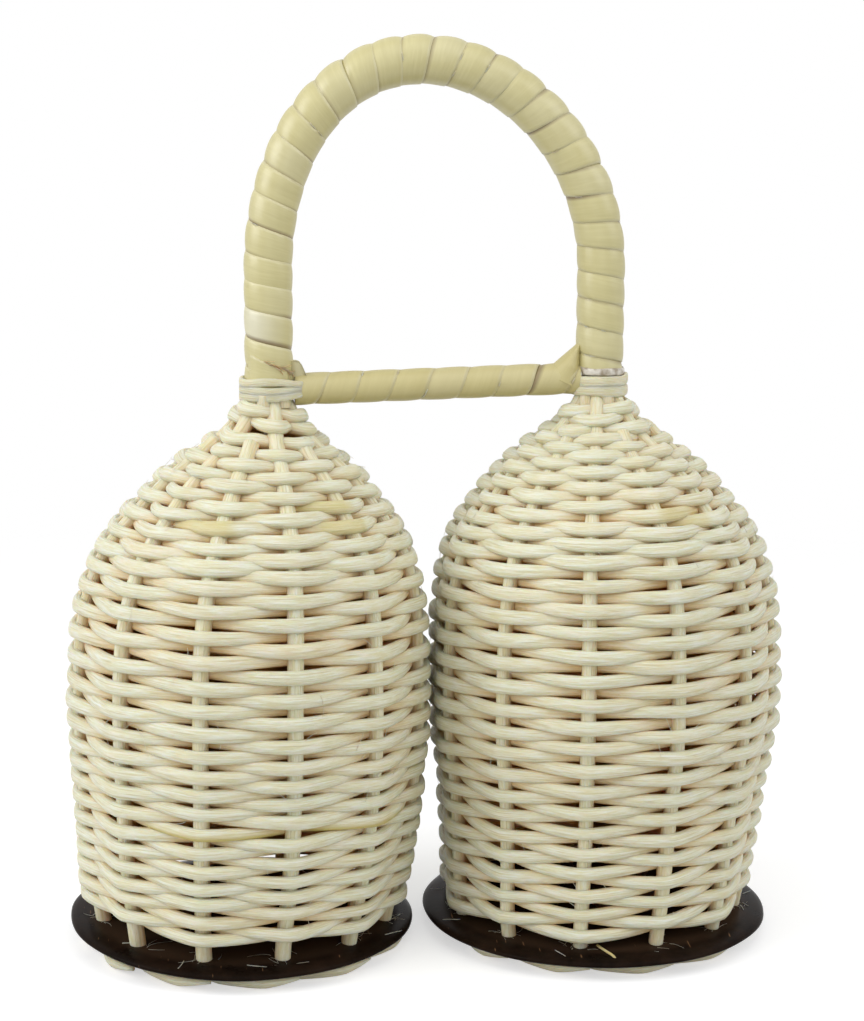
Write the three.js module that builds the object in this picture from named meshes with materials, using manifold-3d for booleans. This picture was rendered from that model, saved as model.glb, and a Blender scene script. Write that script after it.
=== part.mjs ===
// A double caxixi: two woven rattan rattles side by side under one bound handle with a crossbar.
// Millimetres, +Z up. It stands on z = 0, the left basket is at -X, and the front faces -Y.
import * as THREE from "three";
import { mergeVertices } from "three/addons/utils/BufferGeometryUtils.js";
import Module from "manifold-3d";

const wasm = await Module();
wasm.setup();

// Free room between two pieces that touch
const CLEARANCE = 0.3;
// Points of one solid that lie nearer than this are one point
const MERGE_DISTANCE = 0.001;

// Stakes: round reeds that stand in the wall, pass through the disc and turn under it as a foot
const STAKE_COUNT = 12;
const STAKE_DIAMETER = 3.5;
const STAKE_SIDES = 6;
const FOOT_BEND = 2.6;
const FOOT_BEND_STEPS = 2;
const FOOT_OVERRUN = 1.5;
const FOOT_SIDESTEP_SHARES = [0.7, 0.35];

// Base disc: a cap of coconut shell, a little higher in the middle than at its edge.
// It is drawn in from the belly, so that the discs of the two baskets clear each other.
const DISC_DRAW_IN = 1.7;
const DISC_THICKNESS = 2.4;
const DISC_CROWN = 1.2;
const DISC_EDGE = 0.7;
const DISC_MIDDLE_SHARE = 0.6;
const DISC_HOLE_SIDES = 10;

// Outline of the woven wall, from the lowest row to the neck. The lowest row, flank and shoulder
// are drawn in from the belly, and the heights above the belly are drops from the neck.
const WALL_THICKNESS = 2.3;
const WEAVE_ROWS = 46;
const WEAVE_RELIEF = 1.6;
const LOWEST_ROW_GAP = 3.2;
const LOWEST_ROW_DRAW_IN = 4.5;
const FLANK_DRAW_IN = 1.7;
const FLANK_HEIGHT = 33;
const BELLY_RADIUS = 44.5;
const BELLY_HEIGHT = 66;
const SHOULDER_DRAW_IN = 3.5;
const SHOULDER_DROP = 36.6;
const DOME_RADIUS = 27.4;
const DOME_DROP = 16.6;
const CROWN_RADIUS = 13.2;
const CROWN_DROP = 5.1;
const NECK_RADIUS = 9.5;
const NECK_HEIGHT = 133.6;
const DOME_STATIONS_PER_BEND = 2;

// The two baskets lean and differ a little: the shifts are towards +X, from the belly's axis
const BELLY_GAP = 0.4;
const LEFT_BASE_SHIFT = -1.7;
const LEFT_NECK_SHIFT = 5.2;
const LEFT_FIRST_STAKE = 12.5;
const RIGHT_BASE_SHIFT = -1.5;
const RIGHT_NECK_SHIFT = -2.2;
const RIGHT_FIRST_STAKE = -15.5;
const RIGHT_EXTRA_HEIGHT = 1.8;

// Collar: two turns of split reed round the bunch of long stakes
const COLLAR_RISE = 1.8;
const COLLAR_TURNS = 2;
const COLLAR_STRIP_WIDTH = 1.6;
const COLLAR_STRIP_THICKNESS = 1.5;
const COLLAR_STEPS = 24;
const SPLIT_REED_TOP_SHARE = 0.35;
const SPLIT_REED_SHOULDER_SHARE = 0.85;
const SPLIT_REED_SHOULDER_RISE = 0.65;

// Handle: a bent rattan cane with pared tips, bound with flat cane strip
const HANDLE_TOP = 223.6;
const HANDLE_SPRING = 167;
const HANDLE_LEAN = -3.4;
const HANDLE_BENDS = 6;
const CANE_DIAMETER = 8.4;
const CANE_SIDES = 8;
const CANE_STEPS = 28;
const TIP_LENGTH = 19;
const TIP_POINT_DIAMETER = 2.6;
const TIP_LAP = 2;
const HANDLE_TURNS = 24;
const HANDLE_STRIP_THICKNESS = 1.5;
const STRIP_STEPS = 16;
const STRIP_GAP = 0.62;

// Crossbar: a straight rod between the two collars, bound with the same strip
const BAR_DIAMETER = 5.8;
const BAR_SIDES = 12;
const BAR_TURNS = 9;
const BAR_STRIP_THICKNESS = 0.7;
const BAR_STRIP_INSET = 2;

// Loose seeds on each disc: one in the middle and a ring of them
const SEED_LENGTH = 7.5;
const SEED_WIDTH = 6;
const SEED_RING_COUNT = 6;
const SEED_RING_RADIUS = 15;
const SEED_SIDES = 8;
const SEED_BANDS = 6;

// Sizes that follow from the ones above
const DISC_RADIUS = BELLY_RADIUS - DISC_DRAW_IN;
const LOWEST_ROW_RADIUS = BELLY_RADIUS - LOWEST_ROW_DRAW_IN;
const FLANK_RADIUS = BELLY_RADIUS - FLANK_DRAW_IN;
const SHOULDER_RADIUS = BELLY_RADIUS - SHOULDER_DRAW_IN;
const SHOULDER_HEIGHT = NECK_HEIGHT - SHOULDER_DROP;
const DOME_HEIGHT = NECK_HEIGHT - DOME_DROP;
const CROWN_HEIGHT = NECK_HEIGHT - CROWN_DROP;
const STAKE_RADIUS = STAKE_DIAMETER / 2;
const STAKE_SPACING = (2 * Math.PI) / STAKE_COUNT;
const FOOT_HEIGHT = STAKE_DIAMETER * Math.cos(Math.PI / STAKE_SIDES);
const DISC_EDGE_TOP = FOOT_HEIGHT + CLEARANCE + DISC_THICKNESS;
const BASE_RADIUS = Math.max(DISC_RADIUS, LOWEST_ROW_RADIUS);
const LEFT_REACH = Math.max(BELLY_RADIUS, BASE_RADIUS + LEFT_BASE_SHIFT);
const RIGHT_REACH = Math.max(BELLY_RADIUS, BASE_RADIUS - RIGHT_BASE_SHIFT);
const STAKE_DEPTH = WALL_THICKNESS + CLEARANCE + STAKE_RADIUS;
const LEG_RADIUS = LOWEST_ROW_RADIUS - STAKE_DEPTH;
const LOWEST_ROW_HEIGHT = discTop(LEG_RADIUS) + LOWEST_ROW_GAP;
const BUNCH_RADIUS = (STAKE_DIAMETER + CLEARANCE) / (2 * Math.sin(STAKE_SPACING));
const TIP_DIAMETER = 2 * (BUNCH_RADIUS - STAKE_RADIUS - CLEARANCE);
const COLLAR_INNER = BUNCH_RADIUS + STAKE_RADIUS + CLEARANCE;
const COLLAR_OUTER = COLLAR_INNER + COLLAR_STRIP_THICKNESS;
const COLLAR_HEIGHT = COLLAR_STRIP_WIDTH + COLLAR_TURNS * (COLLAR_STRIP_WIDTH + STRIP_GAP);
const HANDLE_STRIP_INNER = CANE_DIAMETER / 2 + CLEARANCE;
const HANDLE_OUTER = HANDLE_STRIP_INNER + HANDLE_STRIP_THICKNESS;

const DOWN = new THREE.Vector3(0, 0, -1);
const BACK = new THREE.Vector3(0, 1, 0);

const leftBasket = {
  name: "left",
  bellyX: -LEFT_REACH - BELLY_GAP / 2,
  baseShift: LEFT_BASE_SHIFT,
  neckShift: LEFT_NECK_SHIFT,
  firstStake: THREE.MathUtils.degToRad(LEFT_FIRST_STAKE),
  neckHeight: NECK_HEIGHT,
};
const rightBasket = {
  name: "right",
  bellyX: RIGHT_REACH + BELLY_GAP / 2,
  baseShift: RIGHT_BASE_SHIFT,
  neckShift: RIGHT_NECK_SHIFT,
  firstStake: THREE.MathUtils.degToRad(RIGHT_FIRST_STAKE),
  neckHeight: NECK_HEIGHT + RIGHT_EXTRA_HEIGHT,
};

// Height of the disc's top at a radius
function discTop(radius) {
  return DISC_EDGE_TOP + DISC_CROWN * (1 - (radius / DISC_RADIUS) ** 2);
}

// Sideways place of a basket's axis at a height: it curves away from the belly towards both ends
function axisX(basket, z) {
  if (z < BELLY_HEIGHT) {
    const share = (BELLY_HEIGHT - Math.max(z, LOWEST_ROW_HEIGHT)) / (BELLY_HEIGHT - LOWEST_ROW_HEIGHT);
    return basket.bellyX + basket.baseShift * share ** 2;
  }
  const share = (Math.min(z, basket.neckHeight) - BELLY_HEIGHT) / (basket.neckHeight - BELLY_HEIGHT);
  return basket.bellyX + basket.neckShift * share ** 2;
}

// A point of a basket by its distance from the axis, its angle from the front and its height
function basketPoint(basket, radius, angle, z) {
  const x = axisX(basket, z) + radius * Math.sin(angle);
  return new THREE.Vector3(x, -radius * Math.cos(angle), z);
}

// The bends of a wall's outline
function wallBends(basket) {
  const stretch = basket.neckHeight / NECK_HEIGHT;
  return [
    new THREE.Vector2(LOWEST_ROW_RADIUS, LOWEST_ROW_HEIGHT),
    new THREE.Vector2(FLANK_RADIUS, FLANK_HEIGHT * stretch),
    new THREE.Vector2(BELLY_RADIUS, BELLY_HEIGHT * stretch),
    new THREE.Vector2(SHOULDER_RADIUS, SHOULDER_HEIGHT * stretch),
    new THREE.Vector2(DOME_RADIUS, DOME_HEIGHT * stretch),
    new THREE.Vector2(CROWN_RADIUS, CROWN_HEIGHT * stretch),
    new THREE.Vector2(NECK_RADIUS, NECK_HEIGHT * stretch),
  ];
}

// The wall's outline, moved inwards by a depth that is measured square to it
function wallOutline(basket, depth) {
  const bends = wallBends(basket);
  const curve = new THREE.SplineCurve(bends);
  const last = bends.length - 1;
  const belly = bends.findIndex((bend) => bend.x === BELLY_RADIUS);
  const stations = bends.slice(0, belly).map((_, station) => station);
  for (let station = belly; station <= last; station += 1 / DOME_STATIONS_PER_BEND) {
    stations.push(station);
  }
  return stations.map((station) => {
    const along = curve.getTangent(station / last);
    const inwards = new THREE.Vector2(-along.y, along.x);
    return curve.getPoint(station / last).addScaledVector(inwards, depth);
  });
}

// The faces between one ring and the next, for rings with as many points each
function bandFaces(ring, nextRing, sides) {
  const index = [];
  for (let side = 0; side < sides; side++) {
    const beside = (side + 1) % sides;
    const a = ring * sides + side;
    const b = ring * sides + beside;
    const c = nextRing * sides + beside;
    const d = nextRing * sides + side;
    index.push(a, b, c, a, c, d);
  }
  return index;
}

// A closed skin over a row of rings, with a flat cap on both ends, or with its last ring joined to its first
function skin(rings, isLoop = false) {
  const sides = rings[0].length;
  const index = [];
  for (let ring = 0; ring < rings.length - 1; ring++) {
    index.push(...bandFaces(ring, ring + 1, sides));
  }
  const last = (rings.length - 1) * sides;
  if (isLoop) {
    index.push(...bandFaces(rings.length - 1, 0, sides));
  } else {
    for (let side = 1; side < sides - 1; side++) {
      index.push(0, side + 1, side, last, last + side, last + side + 1);
    }
  }
  const geometry = new THREE.BufferGeometry().setFromPoints(rings.flat());
  geometry.setIndex(index);
  geometry.computeVertexNormals();
  return geometry;
}

// A round reed through a list of points: flat sides, carried along without a twist
function reed(points, firstNormal) {
  const normal = firstNormal.clone();
  const rings = points.map((point, i) => {
    const before = points[Math.max(i - 1, 0)];
    const after = points[Math.min(i + 1, points.length - 1)];
    const along = after.clone().sub(before).normalize();
    normal.addScaledVector(along, -normal.dot(along)).normalize();
    const across = along.clone().cross(normal);
    return Array.from({ length: STAKE_SIDES }, (_, side) => {
      const turn = ((side + 0.5) * 2 * Math.PI) / STAKE_SIDES;
      const corner = point.clone().addScaledVector(normal, STAKE_RADIUS * Math.cos(turn));
      return corner.addScaledVector(across, STAKE_RADIUS * Math.sin(turn));
    });
  });
  return skin(rings);
}

// A strip wound round a path in the XZ plane. Its section lists points along the path and out from it.
function winding(label, path, section, turns, steps) {
  const length = path.getLength();
  const halfWidth = Math.max(...section.map(([along]) => along));
  const rings = Array.from({ length: turns * steps + 1 }, (_, i) => {
    const middle = halfWidth + ((length - 2 * halfWidth) * i) / (turns * steps);
    const turn = (2 * Math.PI * i) / steps;
    return section.map(([along, out]) => {
      const share = THREE.MathUtils.clamp((middle + along) / length, 0, 1);
      const sideways = path.getTangentAt(share).cross(BACK);
      const point = path.getPointAt(share).addScaledVector(sideways, out * Math.cos(turn));
      return point.addScaledVector(BACK, out * Math.sin(turn));
    });
  });
  console.log(`${label}: least gap to itself ${leastGap(rings, steps).toFixed(2)} mm`);
  return skin(rings);
}

// The least distance from a point of a winding to the points of the turn after it
function leastGap(rings, steps) {
  let least = Infinity;
  const quarter = Math.ceil(steps / 4);
  for (let i = 0; i + steps < rings.length; i++) {
    const end = Math.min(i + steps + quarter, rings.length);
    for (let j = i + steps - quarter; j < end; j++) {
      for (const a of rings[i]) {
        for (const b of rings[j]) {
          least = Math.min(least, a.distanceTo(b));
        }
      }
    }
  }
  return least;
}

// Section of a flat strip that lies on a radius
function flatStrip(width, inner, thickness) {
  const half = width / 2;
  return [
    [-half, inner + thickness],
    [half, inner + thickness],
    [half, inner],
    [-half, inner],
  ];
}

// Section of a split reed: flat inside, rounded outside
function splitReed(width, inner, thickness) {
  const half = width / 2;
  const top = half * SPLIT_REED_TOP_SHARE;
  const shoulder = half * SPLIT_REED_SHOULDER_SHARE;
  const shoulderOut = inner + thickness * SPLIT_REED_SHOULDER_RISE;
  return [
    [-top, inner + thickness],
    [top, inner + thickness],
    [shoulder, shoulderOut],
    [half, inner],
    [-half, inner],
    [-shoulder, shoulderOut],
  ];
}

// Width of a strip that covers a length in a number of turns with a gap between them
function stripWidth(length, turns) {
  return (length + STRIP_GAP) / (turns + 1) - STRIP_GAP;
}

// Closed geometry to a solid that can be joined and cut, and back
function solid(geometry) {
  const bare = geometry.clone();
  bare.deleteAttribute("normal");
  bare.deleteAttribute("uv");
  const merged = mergeVertices(bare, MERGE_DISTANCE);
  const vertProperties = merged.attributes.position.array;
  const triVerts = new Uint32Array(merged.index.array);
  return new wasm.Manifold(new wasm.Mesh({ numProp: 3, vertProperties, triVerts }));
}

function fromSolid(made) {
  const mesh = made.getMesh();
  const geometry = new THREE.BufferGeometry();
  geometry.setAttribute("position", new THREE.BufferAttribute(mesh.vertProperties, 3));
  geometry.setIndex(new THREE.BufferAttribute(mesh.triVerts, 1));
  geometry.computeVertexNormals();
  return geometry;
}

// A turned shape on the Z axis, from a profile of radius and height
function turned(profile, segments, firstAngle = 0) {
  return new THREE.LatheGeometry(profile, segments, firstAngle).rotateX(Math.PI / 2);
}

// An upright round post for cutting or joining, with sides no nearer its axis than its radius
function post(radius, sides, low, high) {
  const geometry = new THREE.CylinderGeometry(1, 1, high - low, sides).rotateX(Math.PI / 2);
  const reach = radius / Math.cos(Math.PI / sides);
  return geometry.scale(reach, reach, 1).translate(0, 0, (low + high) / 2);
}

// A ring of a wall: a point at each stake and between each two, at the outline's place for that side
function wallRing(basket, outlinePoint) {
  return Array.from({ length: 2 * STAKE_COUNT }, (_, side) => {
    const point = outlinePoint(side);
    return basketPoint(basket, point.x, basket.firstStake + (side * STAKE_SPACING) / 2, point.y);
  });
}

// Woven wall: a closed shell outside the stakes, open below and at the neck. Each row of weave stands out
// at every second stake and sinks in at the ones between, and the next row does so the other way round.
function wovenWall(basket) {
  const curve = new THREE.SplineCurve(wallBends(basket));
  const outer = Array.from({ length: WEAVE_ROWS + 1 }, (_, row) => {
    const along = curve.getTangentAt(row / WEAVE_ROWS);
    const inwards = new THREE.Vector2(-along.y, along.x);
    return wallRing(basket, (side) => {
      const depth = (WEAVE_RELIEF / 2) * (1 - Math.cos(Math.PI * (row + side / 2)));
      return curve.getPointAt(row / WEAVE_ROWS).addScaledVector(inwards, depth);
    });
  });
  const inner = wallOutline(basket, WALL_THICKNESS).map((point) => wallRing(basket, () => point));
  return skin([...outer, ...inner.reverse()], true);
}

// Base disc with a hole for each stake
function baseDisc(basket) {
  const ringRadii = [0, DISC_RADIUS * DISC_MIDDLE_SHARE, DISC_RADIUS - DISC_EDGE];
  const top = ringRadii.map((radius) => new THREE.Vector2(radius, discTop(radius)));
  const bottom = top.map((point) => new THREE.Vector2(point.x, point.y - DISC_THICKNESS));
  const edgeHigh = new THREE.Vector2(DISC_RADIUS, DISC_EDGE_TOP - DISC_EDGE);
  const edgeLow = new THREE.Vector2(DISC_RADIUS, DISC_EDGE_TOP - DISC_THICKNESS + DISC_EDGE);
  const profile = [...bottom, edgeLow, edgeHigh, ...top.reverse()];
  let disc = solid(turned(profile, 2 * STAKE_COUNT, basket.firstStake));
  for (let i = 0; i < STAKE_COUNT; i++) {
    const angle = basket.firstStake + i * STAKE_SPACING;
    const hole = post(STAKE_RADIUS + CLEARANCE, DISC_HOLE_SIDES, 0, 2 * DISC_EDGE_TOP);
    hole.translate(LEG_RADIUS * Math.sin(angle), -LEG_RADIUS * Math.cos(angle), 0);
    disc = disc.subtract(solid(hole));
  }
  return fromSolid(disc).translate(axisX(basket, 0), 0, 0);
}

// One stake from the tip of its foot to its upper end. Long stakes reach the top of the collar.
function stake(basket, angle, isLong) {
  const footMiddle = FOOT_HEIGHT / 2;
  const run = LEG_RADIUS * STAKE_SPACING;
  const sidestep = STAKE_DIAMETER + 2 * CLEARANCE;
  const footPoint = (forward, z) => {
    const share = Math.min(forward / run, 1);
    const radius = LEG_RADIUS + sidestep * share * share * (3 - 2 * share);
    return basketPoint(basket, radius, angle + forward / LEG_RADIUS, z);
  };
  const points = [footPoint(run + FOOT_OVERRUN, footMiddle)];
  for (const share of FOOT_SIDESTEP_SHARES) {
    points.push(footPoint(run * share, footMiddle));
  }
  for (let step = FOOT_BEND_STEPS; step >= 0; step--) {
    const turn = (Math.PI / 2) * (step / FOOT_BEND_STEPS);
    const forward = FOOT_BEND * (1 - Math.cos(turn));
    points.push(footPoint(forward, footMiddle + FOOT_BEND * (1 - Math.sin(turn))));
  }
  points.push(basketPoint(basket, LEG_RADIUS, angle, discTop(LEG_RADIUS)));
  const outline = wallOutline(basket, STAKE_DEPTH);
  const stations = isLong ? outline : outline.slice(0, -DOME_STATIONS_PER_BEND);
  points.push(...stations.map((station) => basketPoint(basket, station.x, angle, station.y)));
  if (isLong) {
    for (const z of [collarBottom(basket), collarTop(basket)]) {
      points.push(basketPoint(basket, BUNCH_RADIUS, angle, z));
    }
  }
  return reed(points, DOWN);
}

function collarBottom(basket) {
  return basket.neckHeight + COLLAR_RISE;
}

function collarTop(basket) {
  return collarBottom(basket) + COLLAR_HEIGHT;
}

function neckX(basket) {
  return axisX(basket, basket.neckHeight);
}

function neckPoint(basket, z) {
  return new THREE.Vector3(neckX(basket), 0, z);
}

// Collar round the bunch of stakes
function collar(basket) {
  const low = neckPoint(basket, collarBottom(basket));
  const path = new THREE.LineCurve3(low, neckPoint(basket, collarTop(basket)));
  const section = splitReed(COLLAR_STRIP_WIDTH, COLLAR_INNER, COLLAR_STRIP_THICKNESS);
  return winding(`${basket.name} collar`, path, section, COLLAR_TURNS, COLLAR_STEPS);
}

// Middle line of the handle: two legs, and between them half an ellipse that leans to one side
function handlePath() {
  const low = [leftBasket, rightBasket].map((basket) => neckPoint(basket, collarTop(basket) + CLEARANCE));
  const middle = (low[0].x + low[1].x) / 2;
  const halfSpan = (low[1].x - low[0].x) / 2;
  const rise = HANDLE_TOP - HANDLE_OUTER - HANDLE_SPRING;
  const points = [low[0]];
  for (let bend = 0; bend <= HANDLE_BENDS; bend++) {
    const turn = (Math.PI * bend) / HANDLE_BENDS;
    const x = middle - halfSpan * Math.cos(turn) + HANDLE_LEAN * Math.sin(turn) ** 2;
    points.push(new THREE.Vector3(x, 0, HANDLE_SPRING + rise * Math.sin(turn)));
  }
  points.push(low[1]);
  return new THREE.CatmullRomCurve3(points);
}

// Bent cane of the handle, with a pared tip on each end that goes down into the bunch of stakes
function handleCore(path) {
  const round = new THREE.Shape().absarc(0, 0, CANE_DIAMETER / 2, 0, 2 * Math.PI);
  const curveSegments = CANE_SIDES / 2;
  const options = { extrudePath: path, steps: CANE_STEPS, curveSegments, bevelEnabled: false };
  let core = solid(new THREE.ExtrudeGeometry(round, options));
  for (const basket of [leftBasket, rightBasket]) {
    const shoulder = collarTop(basket) + CLEARANCE;
    const length = TIP_LENGTH + TIP_LAP;
    const tip = new THREE.CylinderGeometry(TIP_DIAMETER / 2, TIP_POINT_DIAMETER / 2, length, CANE_SIDES);
    tip.rotateX(Math.PI / 2).translate(neckX(basket), 0, shoulder + TIP_LAP - length / 2);
    core = core.add(solid(tip));
  }
  return fromSolid(core);
}

function handleWrap(path) {
  const width = stripWidth(path.getLength(), HANDLE_TURNS);
  const section = flatStrip(width, HANDLE_STRIP_INNER, HANDLE_STRIP_THICKNESS);
  return winding("handle wrap", path, section, HANDLE_TURNS, STRIP_STEPS);
}

// Where the crossbar's middle line meets a basket's neck
function barEnd(basket) {
  return neckPoint(basket, (collarBottom(basket) + collarTop(basket)) / 2);
}

// Crossbar rod, with ends hollowed to sit against the collars
function crossbarCore() {
  const start = barEnd(leftBasket);
  const line = barEnd(rightBasket).sub(start);
  const rod = new THREE.CylinderGeometry(BAR_DIAMETER / 2, BAR_DIAMETER / 2, line.length(), BAR_SIDES);
  rod.translate(0, line.length() / 2, 0);
  rod.applyQuaternion(new THREE.Quaternion().setFromUnitVectors(BACK, line.clone().normalize()));
  let bar = solid(rod.translate(start.x, start.y, start.z));
  for (const basket of [leftBasket, rightBasket]) {
    const end = barEnd(basket);
    const seat = post(COLLAR_OUTER + CLEARANCE, COLLAR_STEPS, end.z - BAR_DIAMETER, end.z + BAR_DIAMETER);
    bar = bar.subtract(solid(seat.translate(end.x, end.y, 0)));
  }
  return fromSolid(bar);
}

function crossbarWrap() {
  const start = barEnd(leftBasket);
  const end = barEnd(rightBasket);
  const along = end.clone().sub(start).normalize();
  const inset = COLLAR_OUTER + CLEARANCE + BAR_STRIP_INSET;
  const path = new THREE.LineCurve3(start.addScaledVector(along, inset), end.addScaledVector(along, -inset));
  const width = stripWidth(path.getLength(), BAR_TURNS);
  const section = flatStrip(width, BAR_DIAMETER / 2 + CLEARANCE, BAR_STRIP_THICKNESS);
  return winding("crossbar wrap", path, section, BAR_TURNS, STRIP_STEPS);
}

// One seed lying on the disc, its long side pointing away from the middle
function seed(basket, radius, angle) {
  const geometry = new THREE.SphereGeometry(1, SEED_SIDES, SEED_BANDS).rotateX(Math.PI / 2);
  geometry.scale(SEED_WIDTH / 2, SEED_LENGTH / 2, SEED_WIDTH / 2).rotateZ(angle);
  const middle = discTop(radius) + CLEARANCE + SEED_WIDTH / 2;
  const point = basketPoint(basket, radius, angle, middle);
  return geometry.translate(point.x, point.y, point.z);
}

// Finishes
const reedFinish = () => new THREE.MeshStandardMaterial({ color: 0xe6dcc0, roughness: 0.75, metalness: 0 });
const caneFinish = () => new THREE.MeshStandardMaterial({ color: 0xd0c891, roughness: 0.45, metalness: 0 });
const shellFinish = () => new THREE.MeshStandardMaterial({ color: 0x231914, roughness: 0.3, metalness: 0 });
const seedFinish = () => new THREE.MeshStandardMaterial({ color: 0x5a3a22, roughness: 0.5, metalness: 0 });

function named(name, geometry, material) {
  const mesh = new THREE.Mesh(geometry, material);
  mesh.name = name;
  return mesh;
}

function basketGroup(basket) {
  const group = new THREE.Group();
  group.add(named(`${basket.name}_woven_wall`, wovenWall(basket), reedFinish()));
  group.add(named(`${basket.name}_base_disc`, baseDisc(basket), shellFinish()));
  group.add(named(`${basket.name}_collar`, collar(basket), reedFinish()));
  for (let i = 0; i < STAKE_COUNT; i++) {
    const isLong = i % 2 === 0 && i < STAKE_COUNT - 1;
    const angle = basket.firstStake + i * STAKE_SPACING;
    const number = String(i + 1).padStart(2, "0");
    group.add(named(`${basket.name}_stake_${number}`, stake(basket, angle, isLong), reedFinish()));
  }
  group.add(named(`${basket.name}_seed_1`, seed(basket, 0, 0), seedFinish()));
  for (let i = 0; i < SEED_RING_COUNT; i++) {
    const angle = (2 * Math.PI * i) / SEED_RING_COUNT;
    group.add(named(`${basket.name}_seed_${i + 2}`, seed(basket, SEED_RING_RADIUS, angle), seedFinish()));
  }
  return group;
}

function handleGroup() {
  const group = new THREE.Group();
  const path = handlePath();
  group.add(named("handle_core", handleCore(path), caneFinish()));
  group.add(named("handle_wrap", handleWrap(path), caneFinish()));
  group.add(named("crossbar_core", crossbarCore(), caneFinish()));
  group.add(named("crossbar_wrap", crossbarWrap(), caneFinish()));
  return group;
}

const caxixi = new THREE.Group();
caxixi.name = "caxixi";
caxixi.add(basketGroup(leftBasket), basketGroup(rightBasket), handleGroup());

export default caxixi;
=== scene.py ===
import math

import bpy
import numpy as np
from mathutils import Matrix, Vector


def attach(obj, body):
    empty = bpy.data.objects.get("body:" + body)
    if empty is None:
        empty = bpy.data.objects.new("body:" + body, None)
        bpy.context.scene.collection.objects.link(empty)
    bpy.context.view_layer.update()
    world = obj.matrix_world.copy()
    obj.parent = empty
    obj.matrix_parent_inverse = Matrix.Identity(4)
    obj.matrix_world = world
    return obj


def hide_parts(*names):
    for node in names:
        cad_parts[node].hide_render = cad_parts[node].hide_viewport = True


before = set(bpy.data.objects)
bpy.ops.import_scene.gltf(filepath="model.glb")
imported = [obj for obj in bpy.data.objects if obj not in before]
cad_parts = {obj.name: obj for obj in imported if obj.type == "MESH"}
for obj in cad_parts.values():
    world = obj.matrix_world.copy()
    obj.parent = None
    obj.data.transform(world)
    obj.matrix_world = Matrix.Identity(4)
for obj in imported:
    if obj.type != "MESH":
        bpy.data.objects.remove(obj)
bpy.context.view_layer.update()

# Stakes: twelve round peeled reeds stand in each basket's wall, and the two baskets lean and differ a little.
# Each stake passes down through the coconut disc and is turned under it as a foot, and every second one runs
# up through the neck into the bunch under the collar. All sizes up to the studio are millimetres.
STAKE_COUNT = 12
STAKE_SPACING = 2 * math.pi / STAKE_COUNT
STAKE_DEPTH = 3.4
STAKE_SIDES = 16
STAKE_STEP = 1.3
STAKE_TONE = 0.02
STAKE_PAINTED_SHADE = 0.75
SHORT_STAKE_LACKS = 6
CUT_END_LIFT = 1.4
LEG_RADIUS = 35.65
LEG_FROM, LEG_FULL = 3, 6
FOOT_MIDDLE = 1.65
FOOT_RADIUS = 1.58
FOOT_BEND = 2.6
FOOT_RUN = LEG_RADIUS * STAKE_SPACING
FOOT_SIDESTEP = 4.6
FOOT_OVERRUN = 2.5
FOOT_TAPER = 8
FOOT_TIP_LIFT = 0.6
FOOT_TIP_SHARE = 0.35
FOOT_STEPS, BEND_STEPS, BUNCH_STEPS = 30, 9, 5
WALL_STEP = 1.5
BUNCH_RADIUS = 3.8
BUNCH_FROM, BUNCH_TO = 1.8, 8
BELLY_HEIGHT = 66
LOWEST_ROW = 9.3
NECK_HEIGHT = 133.6
OUTLINE = np.array([(40, LOWEST_ROW), (42.8, 33), (44.5, BELLY_HEIGHT), (41, 97), (27.4, 117), (13.2, 128.5),
                    (9.5, NECK_HEIGHT)])
OUTLINE_STEPS = 60
BELOW_FLARE, ABOVE_FLARE, BEYOND_RISE = 0.1, -0.3, 0.95
SWELL_ARCS = (0, 12, 28, 46, 75, 105)
SWELL_FULL = 20
left = {
    "name": "left", "belly_x": -44.7, "base_shift": -1.7, "neck_shift": 5.2, "neck": NECK_HEIGHT, "rise": 1.7,
    "first": math.radians(12.5), "stake": 1.95, "swell": (1.3, 1.3, 1.3, 1.3, 1.3, 0),
}
right = {
    "name": "right", "belly_x": 44.7, "base_shift": -1.5, "neck_shift": -2.2, "neck": 135.4, "rise": 0,
    "first": math.radians(-15.5), "stake": 1.78, "swell": (0.1, -0.6, -0.7, 0.6, 0.7, 0),
}
baskets = (left, right)
chance = np.random.default_rng(7)


def outline_of(basket):
    """The wall's outline, a smooth curve through its bends: distance along it, radius, height and normal."""
    bends = OUTLINE * (1, basket["neck"] / NECK_HEIGHT)
    bends[0, 1] = LOWEST_ROW
    ends = np.vstack([bends[:1], bends, bends[-1:]])
    p0, p1, p2, p3 = (ends[i:i + len(bends) - 1, None] for i in range(4))
    t = np.linspace(0, 1, OUTLINE_STEPS)[None, :-1, None]
    v1, v2 = (p2 - p0) / 2, (p3 - p1) / 2
    curve = (2 * p1 - 2 * p2 + v1 + v2) * t**3 + (3 * p2 - 3 * p1 - 2 * v1 - v2) * t**2 + v1 * t + p1
    curve = np.vstack([curve.reshape(-1, 2), bends[-1:]])
    slope = np.gradient(curve, axis=0)
    slope /= np.linalg.norm(slope, axis=1, keepdims=True)
    arc = np.concatenate([[0], np.cumsum(np.linalg.norm(np.diff(curve, axis=0), axis=1))])
    return {"arc": arc, "radius": curve[:, 0], "height": curve[:, 1], "out": slope[:, 1], "up": -slope[:, 0]}


def wall(basket, arc, depth=0.0):
    """Radius, height and normal at a distance along the outline, moved inwards square to it by a depth."""
    keys = ("radius", "height", "out", "up")
    radius, height, out, up = (np.interp(arc, basket["arc"], basket[key]) for key in keys)
    beyond = arc - np.clip(arc, 0, basket["arc"][-1])
    radius = radius + np.where(beyond > 0, ABOVE_FLARE, BELOW_FLARE) * beyond
    return radius - depth * out, height + BEYOND_RISE * beyond - depth * up, out, up


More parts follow.
